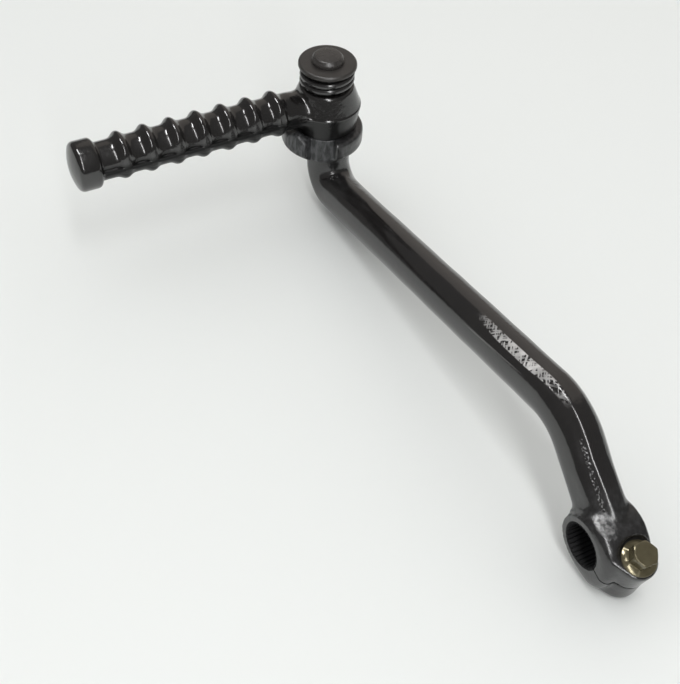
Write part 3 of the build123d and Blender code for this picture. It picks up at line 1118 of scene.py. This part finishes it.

# %% [markdown]
# ## Black paint on the arm
# The paint is thick and glossy, with the slight pimpling of sprayed enamel over a rough forging. One flat
# black would look like plastic, so its colour and gloss wander in clouds. The worn, bare and dull places, the
# painted highlight on the shoulder, the painted glints and the painted shadow in the slit are blended over it
# one after the other.

# %% Arm paint
pimples = paint.noise(1.8, detail=1.0)
cloud = paint.noise(14.0, detail=3.0)
colour = paint.blend(cloud, (0.0085, 0.008, 0.0082), (0.014, 0.0125, 0.012))
layers = (
    (matte_and_sheen_weight, forged_skin_and_sheen),
    (painted_shoulder_highlight, (0.16, 0.16, 0.16)),
    (paint.fade(bare_and_glints, 0.2, 0.8), bare_steel_and_glints),
    (painted_glint_specks, (0.19, 0.19, 0.19)),
    (worn, steel),
    (painted_slit_shadow, (0.002, 0.002, 0.002)),
)
for mask, layer in layers:
    colour = paint.blend(mask, colour, layer)
relief = pimples * 0.8 + grain * 0.08 + worn * 0.7 + painted_glint_specks * 1.2
relief = relief + bare_and_glints * grain * 1.5 + matte_and_sheen_weight * (grain + blotch)
arm.data.materials.append(
    paint.coat_with(
        {
            "Base Color": colour,
            "Roughness": 0.12 + 0.07 * cloud + 0.20 * worn + 0.40 * matte_and_sheen_weight + 0.5 * painted_slit_shadow,
            "Metallic": worn * 0.3 + painted_slit_shadow * 0.9 + matte_and_sheen_weight * 0.4,
            "Specular IOR Level": 1.0,
            "Normal": paint.bump(relief, 0.12),
        }
    )
)

# %% [markdown]
# ## Black paint on the pedal
# The pedal has the same enamel, fresher and glossier, and runs of it stand on the ribs as soft waves.
# Underneath, and on the hub below its ledge, painted shade darkens it: a mask from the height and the reach
# along the pedal makes it a dull, nearly black metal there, which mirrors little of the floor.

# %% Pedal paint
enamel = Finish("pedal_black_paint")
wave = enamel.noise(2.2)
fine = enamel.noise(0.4)
tint = enamel.noise(12.0)
height_mm = enamel.coordinate(2)
reach_mm = enamel.coordinate(1)
on_grip = enamel.fade(reach_mm, 13.0, 17.0)
# Painted shade: the grip's underside and the hub below its ledge are darkened and dulled.
low_grip = (1 - enamel.fade(height_mm, 33.2, 36.2)) * on_grip * (1 - enamel.fade(reach_mm, 96.0, 97.5))
low_hub = (1 - enamel.fade(height_mm, 32.4, 33.2)) * (1 - on_grip)
painted_underside_shade = low_grip + 0.7 * low_hub
enamel_black = enamel.blend(tint, (0.0085, 0.0079, 0.0079), (0.013, 0.012, 0.0115))
pedal.data.materials.append(
    enamel.coat_with(
        {
            "Base Color": enamel.blend(painted_underside_shade, enamel_black, (0.016, 0.016, 0.016)),
            "Roughness": 0.11 + 0.08 * tint + 0.2 * painted_underside_shade,
            "Metallic": painted_underside_shade * 0.9,
            "Specular IOR Level": 1.0,
            "Normal": enamel.bump(wave + fine * 0.08, 0.15),
        }
    )
)

# %% [markdown]
# ## The small steel parts
# The washer and the rivet were handled bare, so their black is thin and satin, and the spring's wire is
# smooth and glossy. The bore's teeth are near black, rough and barely shiny, as painted shade inside the
# bore. They differ only in shade, gloss and relief, so one function makes all four.


# %% Dark steel
def dark_steel(name, shade, roughness, relief, shine=0.55):
    """Satin dark steel: a little colour variation, fine grain and a soft relief."""
    steel = Finish(name)
    mottle = steel.noise(3.0, detail=3.0)
    grain = steel.noise(0.3)
    darker = tuple(0.6 * part for part in shade)
    return steel.coat_with(
        {
            "Base Color": steel.blend(mottle, darker, shade),
            "Roughness": roughness + 0.15 * mottle,
            "Specular IOR Level": shine,
            "Normal": steel.bump(mottle + grain * 0.4, relief, 0.6),
        }
    )


washer.data.materials.append(dark_steel("washer_satin_black", (0.040, 0.036, 0.033), 0.30, 0.08))
rivet.data.materials.append(dark_steel("rivet_satin_black", (0.050, 0.046, 0.043), 0.20, 0.25))
spring.data.materials.append(dark_steel("spring_black", (0.020, 0.019, 0.019), 0.10, 0.03, 1.0))
# Painted shade: the bore's lining is near black and barely shiny.
lining.data.materials.append(dark_steel("bore_steel_painted_shade", (0.010, 0.010, 0.011), 0.6, 0.06, 0.15))

# %% [markdown]
# ## Yellow zinc on the bolt
# Zinc with a yellow passivation looks olive, with faint brown and green clouds, and it mirrors a lamp
# softly. Full metal would turn black in a dim room, so it is only part metallic.

# %% Zinc
zinc = Finish("olive_yellow_zinc")
haze = zinc.noise(2.5, detail=3.0)
speck = zinc.noise(0.4)
bolt.data.materials.append(
    zinc.coat_with(
        {
            "Base Color": zinc.blend(haze, (0.120, 0.103, 0.062), (0.19, 0.168, 0.105)),
            "Roughness": 0.10 + 0.10 * haze,
            "Metallic": 0.55,
            "Normal": zinc.bump(haze + speck * 0.2, 0.06),
        }
    )
)
